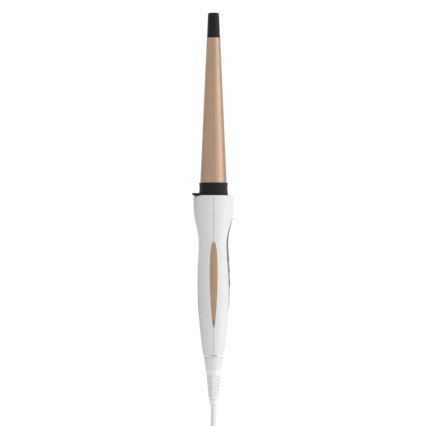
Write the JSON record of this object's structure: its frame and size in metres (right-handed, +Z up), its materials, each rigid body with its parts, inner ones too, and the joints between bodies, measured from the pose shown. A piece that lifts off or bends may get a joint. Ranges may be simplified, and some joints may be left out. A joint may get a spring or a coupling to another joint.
{
  "type": "hair curling wand",
  "caption": "Conical hair curling wand with a coated barrel, cool tip, fixed rest plate, white handle with leaf-shaped trim, buttons and a swivel mains cord.",
  "frame": {"origin": "middle of the rest plate's foot, on the table that the wand lies on", "axes": "+Z up from the table, the cool tip towards -X, the cord towards +X, the control panel faces up"},
  "size_m": [0.5635, 0.0451, 0.0389],
  "materials": {
    "rose_gold_barrel": "satin",
    "black_plastic": "matte",
    "ceramic": "matte",
    "spring_steel": "brushed",
    "aluminium": "machined",
    "white_plastic": "satin",
    "rose_gold_trim": "satin",
    "bronze_panel": "gloss",
    "smoked_lens": "gloss",
    "display_glass": "gloss",
    "board_green": "satin",
    "component_black": "matte",
    "capacitor_red": "satin",
    "button_black": "satin",
    "lead_red": "satin",
    "lead_blue": "satin",
    "brass": "satin",
    "grey_plastic": "matte",
    "relief_white": "satin",
    "cord_white": "satin",
    "tie_grey": "woven",
    "plug_white": "satin",
    "pin_metal": "polished",
    "sleeve_black": "satin"
  },
  "bodies": {
    "root": {"barrel": "rose_gold_barrel", "cool_tip": "black_plastic", "collar": "black_plastic", "rest_plate": "black_plastic", "neck_bushing": "ceramic", "retaining_ring": "spring_steel", "heater_shoes": "aluminium", "heater_element": "ceramic", "temperature_sensor": "component_black", "thermal_fuse": "spring_steel", "front_shell": "white_plastic", "rear_shell": "white_plastic", "shell_screws": "spring_steel", "left_inlay": "rose_gold_trim", "right_inlay": "rose_gold_trim", "control_panel": "bronze_panel", "display_lens": "smoked_lens", "display_unit": "display_glass", "display_holder": "grey_plastic", "control_board": "board_green", "board_screws": "spring_steel", "control_chip": "component_black", "power_capacitor": "capacitor_red", "power_triac": "component_black", "tact_switches": "component_black", "heater_leads": "lead_red", "mains_leads": "lead_blue", "end_ring": "white_plastic", "swivel_socket": "grey_plastic", "brush_contacts": "brass", "cord_tail": "cord_white", "cord_hank": "cord_white", "cord_tie": "tie_grey", "plug_lead": "cord_white", "plug_body": "plug_white", "plug_pins": "pin_metal", "pin_sleeves": "sleeve_black"},
    "swivel": {"swivel_spindle": "black_plastic", "slip_rings": "brass", "spindle_clip": "spring_steel", "swivel_cap": "white_plastic", "strain_relief": "relief_white"},
    "plus_body": {"plus_button": "button_black"},
    "minus_body": {"minus_button": "button_black"},
    "power_body": {"power_button": "button_black"}
  },
  "joints": [
    {"name": "cord_swivel", "type": "hinge", "parent": "root", "child": "swivel", "pos_m": [0.15539, 0, 0.01207], "axis": [-0.9986, 0, 0.0521], "continuous": true},
    {"name": "plus_press", "type": "slide", "parent": "root", "child": "plus_body", "axis": [-0.0521, 0, -0.9986], "range_m": [0, 0.0006], "stiffness_N_per_m": 250, "springref_m": -0.0004},
    {"name": "minus_press", "type": "slide", "parent": "root", "child": "minus_body", "axis": [-0.0521, 0, -0.9986], "range_m": [0, 0.0006], "stiffness_N_per_m": 250, "springref_m": -0.0004},
    {"name": "power_press", "type": "slide", "parent": "root", "child": "power_body", "axis": [-0.0521, 0, -0.9986], "range_m": [0, 0.0006], "stiffness_N_per_m": 250, "springref_m": -0.0004}
  ]
}
